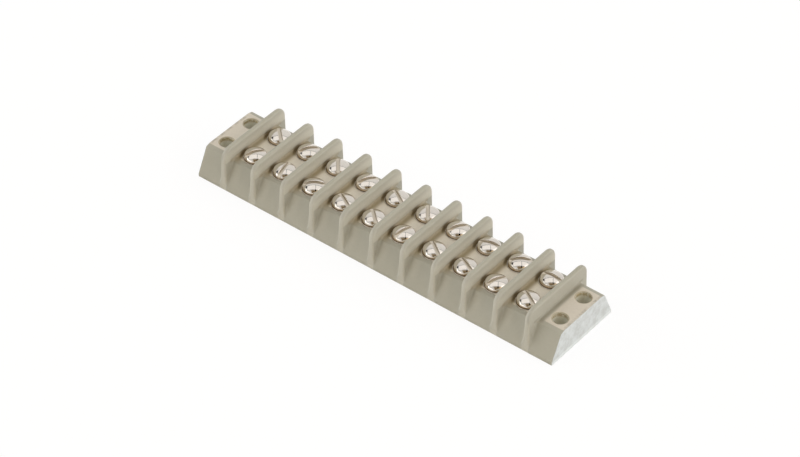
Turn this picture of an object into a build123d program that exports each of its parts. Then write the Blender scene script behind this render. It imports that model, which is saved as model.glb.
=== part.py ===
from build123d import *
import os
from math import radians, tan

# Double-row barrier terminal block: a moulded body with ten bays, a terminal moulded into
# the floor of each bay and two binding-head screws in each terminal. X runs along the block,
# Y across it, Z up; the origin is the middle of the flat base. Sizes are in millimetres.

# Circuits and their spacing
POLES = 10
PITCH = 11.1125
ROW_SPACING = 11.1125

# Moulded body, seen from its end
BASE_WIDTH = 28.575
FOOT_HEIGHT = 0.95
LAND_HEIGHT = 9.525
LAND_WIDTH = 17.6
SHOULDER_WIDTH = 20.9
SHOULDER_DROP = 0.45
END_MARGIN = 3.97
BODY_EDGE = 0.3
END_EDGE = 0.15

# Barrier fins between the bays
FIN_RISE = 4.7625
FIN_INSET = 0.19
FIN_FOOT_THICKNESS = 2.5
FIN_SIDE_DRAFT = 1.8
FIN_END_DRAFT = 0.9
FIN_CORNER_RADIUS = 3.3
FIN_EDGE_RADIUS = 0.7
BAY_FILLET = 0.6

# Mounting holes, two at each end
MOUNT_HOLE_DIAMETER = 4.6
MOUNT_ROW_SPACING = 11.1125
MOUNT_PAST_LAST_FIN = 5.55625
MOUNT_RIM = 0.25

# Terminal: two round posts joined by a bar below the floor of the bay
POST_DIAMETER = 7.6
POST_PROUD = 0.1
POST_LENGTH = 5.0
POST_EDGE = 0.08
BAR_WIDTH = 5.2
BAR_THICKNESS = 1.6

# Binding-head screw, number 6 with 32 threads to the inch
HEAD_DIAMETER = 7.05
HEAD_HEIGHT = 2.3
HEAD_CROWN_RADIUS = 5.5
HEAD_CORNER_RADIUS = 1.0
HEAD_SEAT_WIDTH = 0.9
HEAD_UNDERCUT = 0.2
SLOT_WIDTH = 1.1
SLOT_DEPTH = 1.05
SHANK_DIAMETER = 3.5
SHANK_LENGTH = 6.35
TIP_CHAMFER = 0.5

# Where each screw stopped turning: the direction of its slot, in degrees from X
SLOTS_FRONT = (62, 101, 39, 153, 140, 76, 147, 157, 67, 152)
SLOTS_BACK = (138, 57, 129, 61, 151, 128, 61, 17, 39, 3)

# Clearances
POST_CLEARANCE = 0.05
THREAD_CLEARANCE = 0.05
TIP_ROOM = 0.8

# Places and sizes that follow from those above
HALF_BASE = BASE_WIDTH / 2
FIN_TOP = LAND_HEIGHT + FIN_RISE
MOUNT_X = POLES * PITCH / 2 + MOUNT_PAST_LAST_FIN
MOUNT_Y = MOUNT_ROW_SPACING / 2
HALF_LENGTH = MOUNT_X + END_MARGIN
SHOULDER_HEIGHT = LAND_HEIGHT - SHOULDER_DROP
SLOPE_RUN = (BASE_WIDTH - SHOULDER_WIDTH) / 2 / (SHOULDER_HEIGHT - FOOT_HEIGHT)
FIN_BAR_HALF = POLES * PITCH / 2 + FIN_FOOT_THICKNESS / 2 + 2 * BAY_FILLET
ROW_Y = ROW_SPACING / 2
POST_TOP = LAND_HEIGHT + POST_PROUD
POST_BOTTOM = POST_TOP - POST_LENGTH
TAP_DIAMETER = SHANK_DIAMETER + 2 * THREAD_CLEARANCE
TIP_HOLE_BOTTOM = POST_TOP - SHANK_LENGTH - TIP_ROOM

# A cutter runs this far past the faces that it opens
PAST = 3.0
CUT_LOW = FOOT_HEIGHT - PAST
CUT_HIGH = FIN_TOP + PAST
CUT_SIDE = HALF_BASE + PAST * SLOPE_RUN
TINY = 0.001

UPWARD = (Align.CENTER, Align.CENTER, Align.MIN)


def bay_x(index):
    """Middle of a bay along the block, counted from 0 at the left end."""
    return (index - (POLES - 1) / 2) * PITCH


def fin_x(index):
    """Middle of a fin along the block, counted from 0 at the left end."""
    return (index - POLES / 2) * PITCH


def fin_half(z):
    """Half the thickness of a fin at a height above the base."""
    return FIN_FOOT_THICKNESS / 2 - z * tan(radians(FIN_SIDE_DRAFT))


def along_block(outline, x_from, x_to):
    """Solid with an outline drawn in Y and Z, from one place along the block to another."""
    return extrude(Plane.YZ.offset(x_from) * outline, x_to - x_from)


def rounded(outline):
    """Outline drawn in Y and Z with the mould's small radius at the corners of land and shoulders."""
    corners = []
    for vertex in outline.vertices():
        half_width = abs(vertex.X)
        on_land = abs(vertex.Y - LAND_HEIGHT) < TINY and half_width < HALF_BASE
        on_shoulder = abs(vertex.Y - SHOULDER_HEIGHT) < TINY and half_width < HALF_BASE
        if on_land or on_shoulder:
            corners.append(vertex)
    return fillet(corners, BODY_EDGE)


def body_core():
    """Body below the fins, end to end: foot, slopes, shoulders and land."""
    outline = make_face(
        Polyline(
            (-HALF_BASE, 0),
            (HALF_BASE, 0),
            (HALF_BASE, FOOT_HEIGHT),
            (SHOULDER_WIDTH / 2, SHOULDER_HEIGHT),
            (LAND_WIDTH / 2, LAND_HEIGHT),
            (-LAND_WIDTH / 2, LAND_HEIGHT),
            (-SHOULDER_WIDTH / 2, SHOULDER_HEIGHT),
            (-HALF_BASE, FOOT_HEIGHT),
            close=True,
        )
    )
    core = along_block(rounded(outline), -HALF_LENGTH, HALF_LENGTH)
    end_rims = []
    for edge in core.edges():
        middle = edge @ 0.5
        if abs(middle.X) > HALF_LENGTH - TINY and middle.Z > TINY:
            end_rims.append(edge)
    return fillet(end_rims, END_EDGE)


def over_body(x_from, x_to):
    """All that lies over the body's land, shoulders and slopes, past the foot on both sides."""
    outline = make_face(
        Polyline(
            (-LAND_WIDTH / 2, LAND_HEIGHT),
            (LAND_WIDTH / 2, LAND_HEIGHT),
            (SHOULDER_WIDTH / 2, SHOULDER_HEIGHT),
            (CUT_SIDE, CUT_LOW),
            (CUT_SIDE, CUT_HIGH),
            (-CUT_SIDE, CUT_HIGH),
            (-CUT_SIDE, CUT_LOW),
            (-SHOULDER_WIDTH / 2, SHOULDER_HEIGHT),
            close=True,
        )
    )
    return along_block(rounded(outline), x_from, x_to)


def fin_bar():
    """Bar from the first fin to the last with their outline: drafted ends and rounded top corners."""
    half_foot = HALF_BASE - FIN_INSET
    half_top = half_foot - FIN_TOP * tan(radians(FIN_END_DRAFT))
    outline = make_face(
        Polyline(
            (-half_foot, 0),
            (half_foot, 0),
            (half_top, FIN_TOP),
            (-half_top, FIN_TOP),
            close=True,
        )
    )
    top_corners = outline.vertices().group_by(Axis.Y)[-1]
    return along_block(fillet(top_corners, FIN_CORNER_RADIUS), -FIN_BAR_HALF, FIN_BAR_HALF)


def bay_cutter(left, right):
    """Room between two fins, drafted like their sides and rounded along the foot of each."""
    gap = make_face(
        Polyline(
            (left + fin_half(CUT_LOW), CUT_LOW),
            (right - fin_half(CUT_LOW), CUT_LOW),
            (right - fin_half(CUT_HIGH), CUT_HIGH),
            (left + fin_half(CUT_HIGH), CUT_HIGH),
            close=True,
        )
    )
    room = extrude(Plane.XZ * gap, CUT_SIDE + PAST, both=True) & over_body(left, right)
    room = room.solids()[0]
    feet = []
    for edge in room.edges():
        middle = edge @ 0.5
        along_fin = abs((edge % 0.5).X) < 0.5
        if along_fin and middle.Z < CUT_HIGH - PAST and abs(middle.Y) < CUT_SIDE - TINY:
            feet.append(edge)
    return fillet(feet, BAY_FILLET)


def outer_edges(bar):
    """Edges where the bays break out through the bar's outline, from foot to foot over each fin."""
    skin = [face for face in fin_bar().faces() if abs(face.normal_at().X) < 0.5 and face.normal_at().Z > -0.5]
    found = []
    for edge in bar.edges():
        middle = edge @ 0.5
        seam = abs((edge % 0.5).X) > 0.999 and middle.Z > LAND_HEIGHT
        at_bar_end = abs(middle.X) > FIN_BAR_HALF - TINY
        if seam or at_bar_end or middle.Z < TINY:
            continue
        on_skin = [min(face.distance_to(edge @ part) for face in skin) < TINY for part in (0, 0.5, 1)]
        if all(on_skin):
            found.append(edge)
    return found


def fins():
    """Bar of fins with their rounded edges; what is left of the bar between them lies in the body."""
    bar = fin_bar()
    beyond = FIN_BAR_HALF + PAST + FIN_FOOT_THICKNESS
    places = [-beyond] + [fin_x(index) for index in range(POLES + 1)] + [beyond]
    for left, right in zip(places, places[1:]):
        bar -= bay_cutter(left, right)
    bar = bar.solids()[0]
    return bar.fillet(FIN_EDGE_RADIUS, outer_edges(bar))


def mounting_holes():
    """Four clearance holes through the end lands, each with its rim broken at the top."""
    holes = Part()
    radius = MOUNT_HOLE_DIAMETER / 2
    for x in (-MOUNT_X, MOUNT_X):
        for y in (-MOUNT_Y, MOUNT_Y):
            holes += Pos(x, y, 0) * Cylinder(radius, 2 * FIN_TOP)
            rim = Cone(radius, radius + 2 * MOUNT_RIM, 2 * MOUNT_RIM)
            holes += Pos(x, y, LAND_HEIGHT) * rim
    return holes


def terminal_blank(clearance):
    """Two posts and the bar between them, with some clearance round the posts and the bar."""
    bar_outline = Rot(0, 0, 90) * SlotCenterToCenter(ROW_SPACING, BAR_WIDTH + 2 * clearance)
    blank = Pos(0, 0, POST_BOTTOM) * extrude(bar_outline, BAR_THICKNESS + clearance)
    for y in (-ROW_Y, ROW_Y):
        post = Cylinder(POST_DIAMETER / 2 + clearance, POST_LENGTH, align=UPWARD)
        blank += Pos(0, y, POST_BOTTOM) * post
    return blank


def terminal_pocket():
    """Room in the body for a terminal and for the tips of its screws."""
    pocket = terminal_blank(POST_CLEARANCE)
    for y in (-ROW_Y, ROW_Y):
        tip_hole = Cylinder(TAP_DIAMETER / 2, POST_TOP - TIP_HOLE_BOTTOM, align=UPWARD)
        pocket += Pos(0, y, TIP_HOLE_BOTTOM) * tip_hole
    return pocket


def housing():
    """Moulded body in one piece, from the foot to the tops of its fins."""
    body = body_core() + fins()
    for index in range(POLES):
        body -= Pos(bay_x(index), 0, 0) * terminal_pocket()
    body -= mounting_holes()
    return body.solids()[0]


def terminal():
    """Plated brass terminal in one piece: two tapped posts on a bar."""
    blank = terminal_blank(0)
    rims = blank.edges().filter_by(GeomType.CIRCLE).group_by(Axis.Z)[-1]
    blank = fillet(rims, POST_EDGE)
    for y in (-ROW_Y, ROW_Y):
        blank -= Pos(0, y, 0) * Cylinder(TAP_DIAMETER / 2, 2 * POST_TOP)
    return blank.solids()[0]


def screw(slot_direction):
    """Binding-head screw seated at Z = 0: crowned and slotted head, hollowed underneath, on a shank."""
    head = HEAD_DIAMETER / 2
    shank = SHANK_DIAMETER / 2
    crown_drop = HEAD_CROWN_RADIUS - (HEAD_CROWN_RADIUS**2 - head**2) ** 0.5
    crown_foot = HEAD_HEIGHT - crown_drop
    side = Polyline(
        (0, -SHANK_LENGTH),
        (shank - TIP_CHAMFER, -SHANK_LENGTH),
        (shank, TIP_CHAMFER - SHANK_LENGTH),
        (shank, HEAD_UNDERCUT),
        (head - HEAD_SEAT_WIDTH, 0),
        (head, 0),
        (head, crown_foot),
    )
    crown = RadiusArc((head, crown_foot), (0, HEAD_HEIGHT), -HEAD_CROWN_RADIUS)
    axis = Line((0, HEAD_HEIGHT), (0, -SHANK_LENGTH))
    outline = make_face([side, crown, axis])
    corner = outline.vertices().sort_by_distance((head, crown_foot))[0]
    turned = revolve(Plane.XZ * fillet(corner, HEAD_CORNER_RADIUS), Axis.Z)
    slot = Pos(0, 0, HEAD_HEIGHT) * Box(2 * HEAD_DIAMETER, SLOT_WIDTH, 2 * SLOT_DEPTH)
    return Rot(0, 0, slot_direction) * (turned - slot)


def build():
    """Every piece of the block in its place, by name."""
    pieces = {"housing": housing()}
    for index in range(POLES):
        number = f"{index + 1:02d}"
        pieces[f"terminal_{number}"] = Pos(bay_x(index), 0, 0) * terminal()
        for row, y, slots in (("front", -ROW_Y, SLOTS_FRONT), ("back", ROW_Y, SLOTS_BACK)):
            seat = Pos(bay_x(index), y, POST_TOP)
            pieces[f"screw_{row}_{number}"] = seat * screw(slots[index % len(slots)])
    return pieces


if __name__ == "__main__":
    os.makedirs("parts", exist_ok=True)
    for name, piece in build().items():
        export_step(piece, f"parts/{name}.step")
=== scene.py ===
import math

import bmesh
import bpy
from mathutils import Matrix, Vector


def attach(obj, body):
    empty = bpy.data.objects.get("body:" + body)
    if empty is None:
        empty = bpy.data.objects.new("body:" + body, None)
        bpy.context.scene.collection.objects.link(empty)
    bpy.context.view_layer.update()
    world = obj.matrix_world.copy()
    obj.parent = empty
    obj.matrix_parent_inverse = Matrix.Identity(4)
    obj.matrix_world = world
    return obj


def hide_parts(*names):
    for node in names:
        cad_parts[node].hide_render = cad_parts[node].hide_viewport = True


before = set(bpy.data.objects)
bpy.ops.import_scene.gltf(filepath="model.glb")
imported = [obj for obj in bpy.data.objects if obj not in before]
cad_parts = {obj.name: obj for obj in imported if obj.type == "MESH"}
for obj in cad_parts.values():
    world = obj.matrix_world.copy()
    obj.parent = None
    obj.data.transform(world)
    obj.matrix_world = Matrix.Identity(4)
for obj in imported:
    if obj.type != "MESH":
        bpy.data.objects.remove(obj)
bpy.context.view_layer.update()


# Moulded body: one piece of mineral-filled thermoset, grey beige and matt, with eleven drafted fins.
# It comes out of the mould nearly uniform, with a fine grain, faint flow clouds and a few pale specks; the
# other tones that its material paints on it are painted light and shade, marked below.
# The two end faces are chalky and much paler, where the flash was trimmed and dusted.
class Wire:
    """An output of a material's node. Sums on wires add Math nodes, and node() adds any other."""

    def __init__(self, tree, socket=None):
        self.tree = tree
        self.socket = socket

    def node(self, kind, settings=None, inputs=None, output=0):
        made = self.tree.nodes.new("ShaderNode" + kind)
        for name, value in (settings or {}).items():
            setattr(made, name, value)
        for name, value in (inputs or {}).items():
            if isinstance(value, Wire):
                self.tree.links.new(value.socket, made.inputs[name])
            else:
                made.inputs[name].default_value = value
        return Wire(self.tree, made.outputs[output]) if made.outputs else None

    def maths(self, operation, *values):
        return self.node("Math", {"operation": operation}, dict(enumerate(values)))

    def __add__(self, other):
        return self.maths("ADD", self, other)

    __radd__ = __add__

    def __sub__(self, other):
        return self.maths("SUBTRACT", self, other)

    def __rsub__(self, other):
        return self.maths("SUBTRACT", other, self)

    def __mul__(self, other):
        return self.maths("MULTIPLY", self, other)

    __rmul__ = __mul__

    def __abs__(self):
        return self.maths("ABSOLUTE", self)

    def part(self, number):
        """One part of a place: 0 along the block, 1 across it, 2 up."""
        return self.node("SeparateXYZ", inputs={0: self}, output=number)

    def noise(self, scale, detail, roughness):
        """Cloudy pattern of this scale, read at the place that this wire gives."""
        return self.node("TexNoise", inputs={
            "Vector": self, "Scale": scale, "Detail": detail, "Roughness": roughness})

    def ramp(self, low, high):
        """0 below low, 1 above high, smooth between them."""
        return self.node("MapRange", {"interpolation_type": "SMOOTHSTEP"},
                         {"Value": self, "From Min": low, "From Max": high})

    def tint(self, first, second):
        """The first colour where this wire is 0, the second where it is 1."""
        return self.node("Mix", {"data_type": "RGBA"}, {0: self, 6: first, 7: second}, 2)


def new_finish(name):
    """An empty material and the wire that its nodes start from."""
    material = bpy.data.materials.new(name)
    material.use_nodes = True
    material.node_tree.nodes.clear()
    return material, Wire(material.node_tree)


def wear(piece, material):
    """The piece has this material and no other."""
    piece.data.materials.clear()
    piece.data.materials.append(material)


PITCH = 0.0111125
ROW_Y = PITCH / 2
LAND_Z = 0.009525
END_FACE_X = 0.0649
HOLE_RADIUS = 0.0023

BODY_COLOUR = (0.455, 0.447, 0.374, 1)
BODY_CLOUD = (0.433, 0.423, 0.349, 1)
BODY_SPECK = (0.600, 0.575, 0.480, 1)
BODY_FIBRE = (0.33, 0.30, 0.23, 1)
FIN_LIT = (0.466, 0.460, 0.400, 1)
INNER_FIN_LIT = (0.620, 0.607, 0.530, 1)
RIB_LIT = (0.555, 0.540, 0.460, 1)
PANEL_LIT_BESIDE_RIB = (0.555, 0.542, 0.458, 1)
LAND_LIT = (0.705, 0.657, 0.565, 1)
BAY_FLOOR_LIT = (0.830, 0.783, 0.676, 1)
BAY_FOOT_SHADE = (0.270, 0.165, 0.012, 1)
CREASE_SHADE = (0.097, 0.061, 0.006, 1)
HOLE_WALL_LIT = (0.900, 0.900, 0.810, 1)
HOLE_RIM_HIGHLIGHT = (0.700, 0.650, 0.540, 1)
HOLE_BROWN = (0.380, 0.275, 0.095, 1)
END_EDGE_DARK = (0.28, 0.25, 0.20, 1)
CHALK = (0.600, 0.645, 0.676, 1)
CHALK_LIGHT = (0.700, 0.752, 0.786, 1)
CHALK_FOOT_LIT = (0.800, 0.860, 0.900, 1)


def off_fin(along_x):
    """Distance along the block from the middle of a fin, or of where the next one would be."""
    return along_x.maths("PINGPONG", along_x, PITCH / 2)


def off_screw_squared(along_x, along_y):
    """Square of the distance from the axis of the nearest screw or mounting hole."""
    bay_x = PITCH / 2 - off_fin(along_x)
    row_y = abs(along_y) - ROW_Y
    return bay_x * bay_x + row_y * row_y


moulded, start = new_finish("moulded_thermoset")
place = start.node("TexCoord", output=3)
along_x, along_y, along_z = place.part(0), place.part(1), place.part(2)
to_end, to_side = abs(along_x), abs(along_y)
above_land = abs(along_z - LAND_Z)
from_fin = start.maths("MAXIMUM", off_fin(along_x), to_end - 5 * PITCH)
beside_fin = start.maths("MODULO", along_x + 5.5 * PITCH, PITCH) - PITCH / 2
from_screw = start.maths("SQRT", off_screw_squared(along_x, along_y))
on_land = above_land.ramp(0.00012, 0.00004)
end_land = to_end.ramp(5 * PITCH, 5.02 * PITCH)

clouds = place.noise(90, 4, 0.6)
grain = place.noise(5200, 3, 0.65)
fibre = place.noise(1300, 5, 0.7)
dust = place.noise(420, 6, 0.7)
patchy = fibre.ramp(0.30, 0.55)
speck = start.node("TexVoronoi", inputs={"Vector": place, "Scale": 700})
speck = speck.ramp(0.13, 0.05) * fibre.ramp(0.45, 0.6)

# Fins: painted light on the fins below their rounded tops, which stay darker, and more painted light on
# each face inside a bay, strongest low down and weaker at the front, in place of the light that the bay's
# shade holds back.
on_fin = from_fin.ramp(0.0017, 0.0012) * along_z.ramp(0.01422, 0.01390)
bay_height = along_z.ramp(0.0094, 0.0098) * along_z.ramp(0.0139, 0.0113)
inside_bay = to_end.ramp(5 * PITCH, 4.99 * PITCH) * bay_height * from_fin.ramp(0.0018, 0.0014)
inside_bay = inside_bay * (1 - 0.3 * along_y.ramp(-0.007, -0.011))

# Slopes: painted light on the ribs, a painted highlight along each rib's left edge at the front, and
# painted light on the panel right of each rib at the front, where the rib's shade falls.
on_slope = along_y.ramp(-0.0104, -0.0108) * along_z.ramp(0.0091, 0.0089) * (1 - end_land)
on_rib = to_side.ramp(0.0134, 0.0138) * along_z.ramp(0.0120, 0.0095) * from_fin.ramp(0.00125, 0.00105)
lit_strip_right = (beside_fin - 0.17 * along_z).ramp(0.0001, 0.0013) * beside_fin.ramp(0.0056, 0.0026)
lit_strip_right = lit_strip_right * along_z.ramp(0.001, 0.0075)
lit_strip_left = beside_fin.ramp(-0.0024, -0.0016) * beside_fin.ramp(-0.0010, -0.0013)
lit_strip_left = lit_strip_left * along_z.ramp(0.0020, 0.0045)

# Creases: patchy painted brown shade along the foot of each fin, and a painted shadow of each screw head
# beside it, the darkest part.
in_body = to_side.ramp(0.0122, 0.0112)
bay_shade_depth = 0.19 + 0.23 * to_side.ramp(0.0105, 0.0080) + 0.17 * clouds
bay_foot = from_fin.ramp(0.0042, 0.0018) * above_land.ramp(0.0010, 0.0001) * bay_shade_depth
beside_head = 0.95 * from_screw.ramp(0.0051, 0.0044) * above_land.ramp(0.0013, 0.0003)
beside_head = beside_head * from_fin.ramp(0.0030, 0.0015)
end_foot = above_land.ramp(0.0006, 0.0001) * from_fin.ramp(0.0030, 0.0020) * (0.20 + 0.2 * clouds)

# Mounting holes: a painted highlight on the rim, a patchy brown ring round it, a brown band just below it
# inside, and walls painted pale as painted light.
in_hole = end_land * from_screw.ramp(HOLE_RADIUS + 0.00006, HOLE_RADIUS + 0.00002)
hole_rim_highlight = end_land * on_land * from_screw.ramp(HOLE_RADIUS + 0.0006, HOLE_RADIUS + 0.0003)
hole_ring = end_land * on_land * from_screw.ramp(HOLE_RADIUS + 0.00034, HOLE_RADIUS + 0.0002)
hole_brown_band = in_hole * along_z.ramp(0.0078, 0.0086) * along_z.ramp(0.0097, 0.0095) * patchy

# Ends: chalk over both faces, painted whitest along the foot as painted light from the table, and a patchy
# dark band along each land's outer edge.
chalky = to_end.ramp(END_FACE_X, END_FACE_X + 0.0001)
chalk_tone = dust.ramp(0.35, 0.65).tint(CHALK, CHALK_LIGHT)
chalk_tone = (0.8 * along_z.ramp(0.0016, 0.0008)).tint(chalk_tone, CHALK_FOOT_LIT)
end_edge_band = on_land * to_end.ramp(0.06395, 0.06455) * dust.ramp(0.42, 0.60)

# The lands and bay floors are painted paler, painted light on these upward flats and most in the bays
# against their shade; within 3.4 mm of a fin the paler tone fades out, a painted shadow of the fin.
body_tone = clouds.ramp(0.35, 0.7).tint(BODY_COLOUR, BODY_CLOUD)
for cover, colour in (
    (on_fin, FIN_LIT),
    (inside_bay, INNER_FIN_LIT),
    (on_rib * beside_fin.ramp(-0.0030, 0.0006), RIB_LIT),
    (0.85 * on_slope * lit_strip_right * (1 - on_rib), PANEL_LIT_BESIDE_RIB),
    (0.7 * on_slope * lit_strip_left, RIB_LIT),
    (on_land * from_fin.ramp(0.0020, 0.0034), end_land.tint(BAY_FLOOR_LIT, LAND_LIT)),
    (in_body * (1 - end_land) * bay_foot, BAY_FOOT_SHADE),
    (in_body * (end_land * end_foot + (1 - end_land) * beside_head), CREASE_SHADE),
    (0.6 * hole_rim_highlight, HOLE_RIM_HIGHLIGHT),
    (hole_ring * (0.35 + 0.4 * patchy), HOLE_BROWN),
    (in_hole, HOLE_WALL_LIT),
    (0.8 * hole_brown_band, HOLE_BROWN),
    (0.35 * speck, BODY_SPECK),
    (0.12 * fibre.ramp(0.3, 0.75), BODY_FIBRE),
    (0.55 * end_edge_band, END_EDGE_DARK),
    (chalky * (0.85 + 0.15 * dust.ramp(0.3, 0.6)), chalk_tone),
):
    body_tone = cover.tint(body_tone, colour)

body_height = grain * 0.5 + fibre * 0.35 + clouds * 0.6
body_bump = start.node("Bump", inputs={"Strength": 0.16, "Distance": 0.00002, "Height": body_height})
body_skin = start.node("BsdfPrincipled", inputs={
    "Base Color": body_tone,
    "Roughness": 0.52 + 0.10 * fibre + 0.25 * chalky,
    "IOR": 1.5,
    "Normal": body_bump,
})
start.node("OutputMaterial", inputs={"Surface": body_skin})
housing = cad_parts["housing"]
wear(housing, moulded)


# Terminals: one plated brass piece in each bay, moulded into the floor, with two tapped posts.
# Only the rims of the posts show round the screw heads; the bar between them is under the floor.
PLATING = (0.72, 0.67, 0.59, 1)
TARNISH_AND_SHADE = (0.13, 0.09, 0.045, 1)

plated, start = new_finish("plated_brass")
place = start.node("TexCoord", output=3)
tarnish = place.noise(900, 4, 0.6)
# The post's top under each head is painted dark, a painted shadow of the head, and patchy tarnish darkens
# the rest.
head_shadow_on_post = off_screw_squared(place.part(0), place.part(1)).ramp(0.00366 ** 2, 0.00360 ** 2)
post_bump = start.node("Bump", inputs={"Strength": 0.2, "Distance": 0.00002, "Height": tarnish})
post_metal = start.node("BsdfPrincipled", inputs={
    "Base Color": (head_shadow_on_post + 0.4 * tarnish.ramp(0.45, 0.75)).tint(PLATING, TARNISH_AND_SHADE),
    "Metallic": 0.7,
    "Roughness": 0.38 + 0.16 * tarnish,
    "Normal": post_bump,
})
start.node("OutputMaterial", inputs={"Surface": post_metal})
for name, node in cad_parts.items():
    if name.startswith("terminal_"):
        wear(node, plated)


# Screws: number 6 binding-head machine screws, cold headed and thread rolled in steel, nickel plated.
# The head has a shallow crown, rounded corners and a straight slot, and is hollowed underneath.
HEAD_RADIUS = 0.003525
HEAD_HEIGHT = 0.0023
CROWN_RADIUS = 0.0055
CORNER_RADIUS = 0.001
FOOT_ROUND = 0.00006
SEAT_WIDTH = 0.0009
HOLLOW = 0.0002
SLOT_HALF = 0.00055
SLOT_DEPTH = 0.00105
SLOT_ROUND = 0.00008
SHANK_RADIUS = 0.00175
SHANK_LENGTH = 0.00635
TIP_CHAMFER = 0.0003
THREAD_PITCH = 0.00079375
THREAD_DEPTH = 0.00045
THREAD_START = 0.0004
THREAD_STOP = 0.0005
POST_TOP = 0.009625

CROWN_Z = HEAD_HEIGHT - CROWN_RADIUS
CORNER_IN = HEAD_RADIUS - CORNER_RADIUS
CORNER_Z = CROWN_Z + math.sqrt((CROWN_RADIUS - CORNER_RADIUS) ** 2 - CORNER_IN ** 2)
CROWN_END = CORNER_IN * CROWN_RADIUS / (CROWN_RADIUS - CORNER_RADIUS)
SLOT_LIP = SLOT_HALF + SLOT_ROUND
SLOT_FLOOR = HEAD_HEIGHT - SLOT_DEPTH
SLOT_REACH = CORNER_IN + math.sqrt(CORNER_RADIUS ** 2 - (SLOT_FLOOR - CORNER_Z) ** 2)
THREAD_CORE = SHANK_RADIUS - THREAD_DEPTH

# Steps of the mesh: across each mouth of the slot, round the rim between them, over the corner and
# the crown, and round each turn of the thread.
MOUTH_STEPS = 8
RIM_STEPS = 40
CORNER_STEPS = 8
CROWN_STEPS = 10
TURN_STEPS = 36


def crown(radius):
    """Height of the head at a distance from its middle: a shallow crown, then the rounded corner."""
    if radius <= CROWN_END:
        return CROWN_Z + math.sqrt(CROWN_RADIUS ** 2 - radius ** 2)
    return CORNER_Z + math.sqrt(CORNER_RADIUS ** 2 - (radius - CORNER_IN) ** 2)


def head_angles():
    """Angles round the head, with the slot's walls among them."""
    half = math.asin(SLOT_LIP / SLOT_REACH)
    angles = []
    for low, high, count in (
        (-half, half, MOUTH_STEPS),
        (half, math.pi - half, RIM_STEPS),
        (math.pi - half, math.pi + half, MOUTH_STEPS),
        (math.pi + half, 2 * math.pi - half, RIM_STEPS),
    ):
        angles += [low + (high - low) * i / count for i in range(count)]
    return angles


def ring(mesh, radius, z, angles):
    """Ring of points round the screw's axis."""
    return [mesh.verts.new((radius * math.cos(a), radius * math.sin(a), z)) for a in angles]


def join_rings(mesh, outer, inner):
    """Band of faces between two rings with as many points."""
    for i in range(len(outer)):
        j = (i + 1) % len(outer)
        mesh.faces.new((outer[i], outer[j], inner[j], inner[i]))


def head_outline():
    """Outline of the head from the slot's floor down over the corner, side and seat to the shank."""
    first = math.asin((SLOT_FLOOR - CORNER_Z) / CORNER_RADIUS)
    points = []
    for i in range(CORNER_STEPS + 1):
        turn = first * (1 - i / CORNER_STEPS)
        points.append((CORNER_IN + CORNER_RADIUS * math.cos(turn),
                       CORNER_Z + CORNER_RADIUS * math.sin(turn)))
    for turn in (0, 45, 90):
        angle = math.radians(turn)
        points.append((HEAD_RADIUS - FOOT_ROUND * (1 - math.cos(angle)),
                       FOOT_ROUND * (1 - math.sin(angle))))
    points.append((HEAD_RADIUS - SEAT_WIDTH, 0))
    points.append((SHANK_RADIUS, HOLLOW))
    points.append((THREAD_CORE, HOLLOW))
    return points


def on_crown(rim_x, rim_y, side, left):
    """Place on the crown between a point of the rim, at 1 left to go, and the slot's lip, at 0."""
    y = SLOT_LIP * side + (rim_y - SLOT_LIP * side) * left
    return rim_x, y, crown(math.hypot(rim_x, y))


def on_lip(rim_x, side, angle):
    """Place on the slot's lip, which rounds from the crown at a right angle to the wall at 0."""
    top = crown(math.hypot(rim_x, SLOT_LIP))
    drop = min(SLOT_ROUND, 0.5 * (top - SLOT_FLOOR))
    y = (SLOT_HALF + SLOT_ROUND * (1 - math.cos(angle))) * side
    return rim_x, y, top - drop * (1 - math.sin(angle))


def crown_half(mesh, rim_arc, side):
    """Crown on one side of the slot, with the slot's rounded lip and its wall down to the floor."""
    rim = [(outer.co.x, outer.co.y) for outer in rim_arc[1:-1]]
    lines = []
    for step in range(1, CROWN_STEPS):
        left = (1 - step / CROWN_STEPS) ** 1.2
        lines.append([on_crown(x, y, side, left) for x, y in rim])
    for turn in (90, 60, 30, 0):
        lines.append([on_lip(x, side, math.radians(turn)) for x, y in rim])
    lines.append([(x, SLOT_HALF * side, SLOT_FLOOR) for x, y in rim])

    rows = [rim_arc]
    for line in lines:
        rows.append([rim_arc[0], *(mesh.verts.new(place) for place in line), rim_arc[-1]])
    for upper, lower in zip(rows, rows[1:]):
        for k in range(len(rim_arc) - 1):
            corners = [upper[k], upper[k + 1], lower[k + 1], lower[k]]
            corners = [v for i, v in enumerate(corners) if v not in corners[:i]]
            if len(corners) > 2:
                mesh.faces.new(corners)
    return rows[-1]


def add_thread(mesh):
    """Rolled thread: a ridge that winds down the shank's core and fades out at both ends."""
    length = SHANK_LENGTH - THREAD_START - THREAD_STOP
    count = int(length / THREAD_PITCH * TURN_STEPS)
    fade_in, fade_out = TURN_STEPS / 2, TURN_STEPS * 5 / 6
    profile = ((-0.45, -0.07), (-0.44, -0.02), (-0.07, 1), (0.07, 1), (0.44, -0.02), (0.45, -0.07))
    last = None
    for i in range(count + 1):
        angle = 2 * math.pi * i / TURN_STEPS
        z = -THREAD_START - THREAD_PITCH * i / TURN_STEPS
        height = min(1, i / fade_in, (count - i) / fade_out)
        section = []
        for along, out in profile:
            radius = THREAD_CORE + THREAD_DEPTH * (out * height if out > 0 else out)
            section.append(mesh.verts.new((radius * math.cos(angle), radius * math.sin(angle),
                                           z + along * THREAD_PITCH)))
        if last:
            join_rings(mesh, last, section)
        else:
            mesh.faces.new(section)
        last = section
    mesh.faces.new(last)


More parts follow.
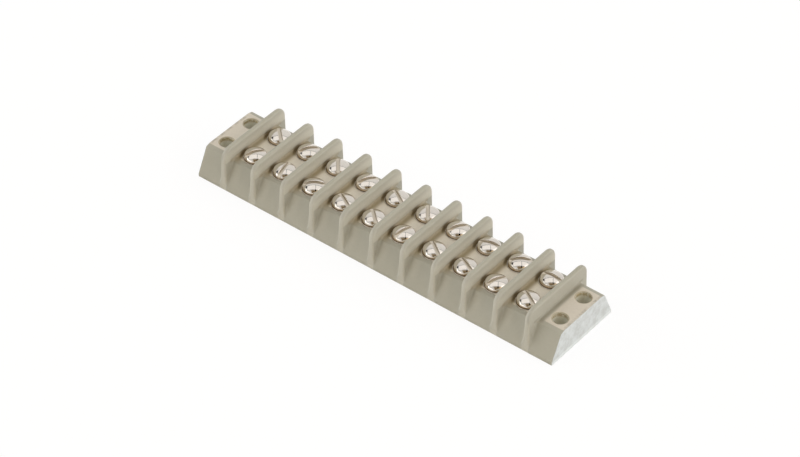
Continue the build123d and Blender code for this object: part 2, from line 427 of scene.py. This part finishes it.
def screw_mesh():
    """One screw, seated at height 0, with its slot along X."""
    mesh = bmesh.new()
    angles = head_angles()
    rings = [ring(mesh, radius, z, angles) for radius, z in head_outline()]
    rings.append(ring(mesh, THREAD_CORE, TIP_CHAMFER - SHANK_LENGTH, angles))
    rings.append(ring(mesh, THREAD_CORE - TIP_CHAMFER, -SHANK_LENGTH, angles))
    for outer, inner in zip(rings, rings[1:]):
        join_rings(mesh, outer, inner)
    mesh.faces.new(rings[-1])

    edge = rings[0] + [rings[0][0]]
    half_way = MOUTH_STEPS + RIM_STEPS
    front = crown_half(mesh, edge[MOUTH_STEPS:half_way + 1], 1)
    back = crown_half(mesh, edge[half_way + MOUTH_STEPS:], -1)[::-1]
    for k in range(RIM_STEPS):
        mesh.faces.new((front[k], front[k + 1], back[k + 1], back[k]))
    mesh.faces.new(edge[:MOUTH_STEPS + 1])
    mesh.faces.new(edge[half_way:half_way + MOUTH_STEPS + 1])

    add_thread(mesh)
    bmesh.ops.recalc_face_normals(mesh, faces=mesh.faces)
    made = bpy.data.meshes.new("screw")
    mesh.to_mesh(made)
    mesh.free()
    made.shade_smooth()
    made.set_sharp_from_angle(angle=math.radians(38))
    return made


NICKEL = (0.85, 0.81, 0.755, 1)
SMEAR_TONE = (0.55, 0.47, 0.36, 1)
SLOT_REFLECTION = (0.74, 0.665, 0.53, 1)
SLOT_CORNER_SHADE = (0.20, 0.15, 0.09, 1)
RIM_BROWN_REFLECTION = (0.50, 0.34, 0.17, 1)

nickel, start = new_finish("nickel_plate")
place = start.node("TexCoord", output=3)
spot = start.node("NewGeometry")
smear = spot.noise(700, 5, 0.6)
scratch = spot.noise(4200, 3, 0.6)
across, depth = abs(place.part(1)), place.part(2)
# The slot is painted a lighter golden tone and made less metallic, a painted reflection of the light it
# catches, with painted shade along the corners at its floor.
in_slot = across.ramp(SLOT_HALF + 0.00006, SLOT_HALF)
in_slot = in_slot * depth.ramp(SLOT_FLOOR + 0.0006, SLOT_FLOOR + 0.0002)
slot_corner = in_slot * across.ramp(SLOT_HALF - 0.00022, SLOT_HALF - 0.00005)
# The head's lower side is painted patchy brown, a painted reflection of the shaded plastic round it.
on_rim = depth.ramp(0.0011, 0.0004) * depth.ramp(-0.0001, 0)
nickel_tone = (0.12 * smear.ramp(0.4, 0.8)).tint(NICKEL, SMEAR_TONE)
nickel_tone = (0.6 * in_slot).tint(nickel_tone, SLOT_REFLECTION)
nickel_tone = (0.38 * slot_corner).tint(nickel_tone, SLOT_CORNER_SHADE)
nickel_tone = (on_rim * (0.35 + 0.5 * smear.ramp(0.35, 0.65))).tint(nickel_tone, RIM_BROWN_REFLECTION)
screw_height = scratch * 0.35 + smear
screw_bump = start.node("Bump", inputs={"Strength": 0.12, "Distance": 0.00003, "Height": screw_height})
screw_metal = start.node("BsdfPrincipled", inputs={
    "Base Color": nickel_tone,
    "Metallic": 1 - 0.65 * in_slot,
    "Roughness": 0.05 + 0.07 * smear + 0.14 * in_slot,
    "Normal": screw_bump,
})
start.node("OutputMaterial", inputs={"Surface": screw_metal})

SLOTS = {
    "front": (62, 101, 39, 153, 140, 76, 147, 157, 67, 152),
    "back": (138, 57, 129, 61, 151, 128, 61, 17, 39, 3),
}
one_screw = screw_mesh()
one_screw.materials.append(nickel)
for row, side in (("front", -1), ("back", 1)):
    for index, direction in enumerate(SLOTS[row]):
        name = f"screw_{row}_{index + 1:02d}"
        screw = bpy.data.objects.new(name + "_turned", one_screw.copy())
        bpy.context.scene.collection.objects.link(screw)
        screw.location = ((index - 4.5) * PITCH, side * ROW_Y, POST_TOP)
        screw.rotation_euler = (0, 0, math.radians(direction))
        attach(screw, name)
        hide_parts(name)


# Studio: a white table inside a light tent. The tent glows nearly evenly, with a long soft strip overhead.
# Its opening, where the camera looks in, is dark, and so is a gap at the strip's left end.
# The table shows pure white to the camera and keeps only a faint shadow under the block.
TABLE_REACH = 3.0
TABLE_COLOUR = (0.80, 0.80, 0.78, 1)
PURE_WHITE = (1, 1, 1, 1)
TENT_CLOTH = (1.0, 0.98, 0.95, 1)
TENT_STRIP = (1.0, 0.97, 0.94, 1)
TENT_OPENING = (1.0, 0.75, 0.45, 1)

table_mesh = bpy.data.meshes.new("table_top")
corners = [(x * TABLE_REACH, y * TABLE_REACH, 0) for x, y in ((-1, -1), (1, -1), (1, 1), (-1, 1))]
table_mesh.from_pydata(corners, [], [(0, 1, 2, 3)])
table = bpy.data.objects.new("table_top", table_mesh)
bpy.context.scene.collection.objects.link(table)
white, start = new_finish("white_table")
seen = start.node("LightPath", output=0)
mirrored = start.node("LightPath", output=3)
top_coat = start.node("BsdfPrincipled", inputs={"Base Color": TABLE_COLOUR, "Roughness": 0.7})
glow = start.node("Emission", inputs={"Color": PURE_WHITE, "Strength": 1.05})
mixed = start.node("MixShader", inputs={0: 0.86 * seen + 0.70 * mirrored, 1: top_coat, 2: glow})
start.node("OutputMaterial", inputs={"Surface": mixed})
wear(table, white)

VIEW_TURN = 0.6535863
world = bpy.data.worlds.new("light_tent")
bpy.context.scene.world = world
world.use_nodes = True
world.node_tree.nodes.clear()
start = Wire(world.node_tree)
way = start.node("TexCoord")


def towards(side, away, up):
    """Direction given by its parts to the camera's right, away from the camera and up."""
    cos, sin = math.cos(VIEW_TURN), math.sin(VIEW_TURN)
    return tuple(Vector((side * cos - away * sin, side * sin + away * cos, up)).normalized())


def along(direction):
    """Share of the way looked along that points in this direction."""
    return way.node("VectorMath", {"operation": "DOT_PRODUCT"}, {0: way, 1: direction}, 1)


def patch(direction, inner, outer):
    """1 within a cone of inner degrees about a direction, 0 outside one of outer degrees."""
    return along(direction).ramp(math.cos(math.radians(outer)), math.cos(math.radians(inner)))


lean = math.radians(7)
strip_across = along(towards(0, math.cos(lean), -math.sin(lean)))
strip_along = along(towards(1, 0, 0))
overhead = along((0, 0, 1)).ramp(0.2, 0.4)
strip = overhead * abs(strip_across).ramp(0.270, 0.245) * abs(strip_along - 0.03).ramp(0.67, 0.61)
edges = overhead * abs(abs(strip_across) - 0.285).ramp(0.030, 0.012) * abs(strip_along).ramp(0.70, 0.64)
seam = overhead * abs(strip_along - 0.14).ramp(0.035, 0.012) * abs(strip_across + 0.12).ramp(0.42, 0.36)
opening = along(towards(0, -1, 0)).ramp(0.12, 0.32) * abs(strip_along - 0.10).ramp(0.52, 0.30)
left_gap = patch(towards(-0.69, 0.27, 0.67), 3, 12)
low_front = patch(towards(-0.76, -0.65, 0.06), 8, 22)
back_wall = patch(towards(0.10, 0.90, 0.45), 20, 50)
left_wall = patch(towards(-0.96, 0.20, 0.10), 12, 42)
right_wall = patch(towards(0.85, -0.45, 0.38), 15, 50)
tent = (0.68 - 0.48 * opening - 0.75 * left_gap
        + 0.90 * low_front + 0.1 * back_wall + 1.9 * left_wall + 1.45 * right_wall
        - 0.42 * edges - 0.62 * seam + 0.28 * strip)
tent_colour = opening.tint(strip.tint(TENT_CLOTH, TENT_STRIP), TENT_OPENING)
room = start.node("Background", inputs={"Color": tent_colour, "Strength": tent})
backdrop = start.node("Background", inputs={"Color": PURE_WHITE, "Strength": 1.0})
seen = start.node("LightPath", output=0)
shown = start.node("MixShader", inputs={0: seen, 1: room, 2: backdrop})
start.node("OutputWorld", inputs={"Surface": shown})

# Camera: a long lens above the block's front right, as in the picture that the block is made after.
# Its place is given from the block's middle: back along the line of sight, then right and up.
VIEW_TILT = 0.71756050
VIEW_ROLL = 0.01906412
CAMERA_BACK, CAMERA_RIGHT, CAMERA_UP = 0.9602606, -0.0000699, 0.0040635
PICTURE_WIDTH = 800
FOCAL_POINTS = 3300.40
SENSOR_WIDTH = 36

back_way = Vector((math.sin(VIEW_TURN) * math.cos(VIEW_TILT),
                   -math.cos(VIEW_TURN) * math.cos(VIEW_TILT), math.sin(VIEW_TILT)))
right_way = Vector((math.cos(VIEW_TURN), math.sin(VIEW_TURN), 0))
up_way = back_way.cross(right_way)
right_roll = math.cos(VIEW_ROLL) * right_way + math.sin(VIEW_ROLL) * up_way
up_roll = -math.sin(VIEW_ROLL) * right_way + math.cos(VIEW_ROLL) * up_way
lens = bpy.data.cameras.new("camera")
lens.sensor_width = SENSOR_WIDTH
lens.lens = FOCAL_POINTS / PICTURE_WIDTH * SENSOR_WIDTH
lens.clip_start = 0.01
camera = bpy.data.objects.new("camera", lens)
bpy.context.scene.collection.objects.link(camera)
camera_place = CAMERA_BACK * back_way + CAMERA_RIGHT * right_roll + CAMERA_UP * up_roll
camera_axes = Matrix((right_roll, up_roll, back_way)).transposed()
camera.matrix_world = Matrix.Translation(camera_place) @ camera_axes.to_4x4()
bpy.context.scene.camera = camera
bpy.context.scene.view_settings.view_transform = "Standard"
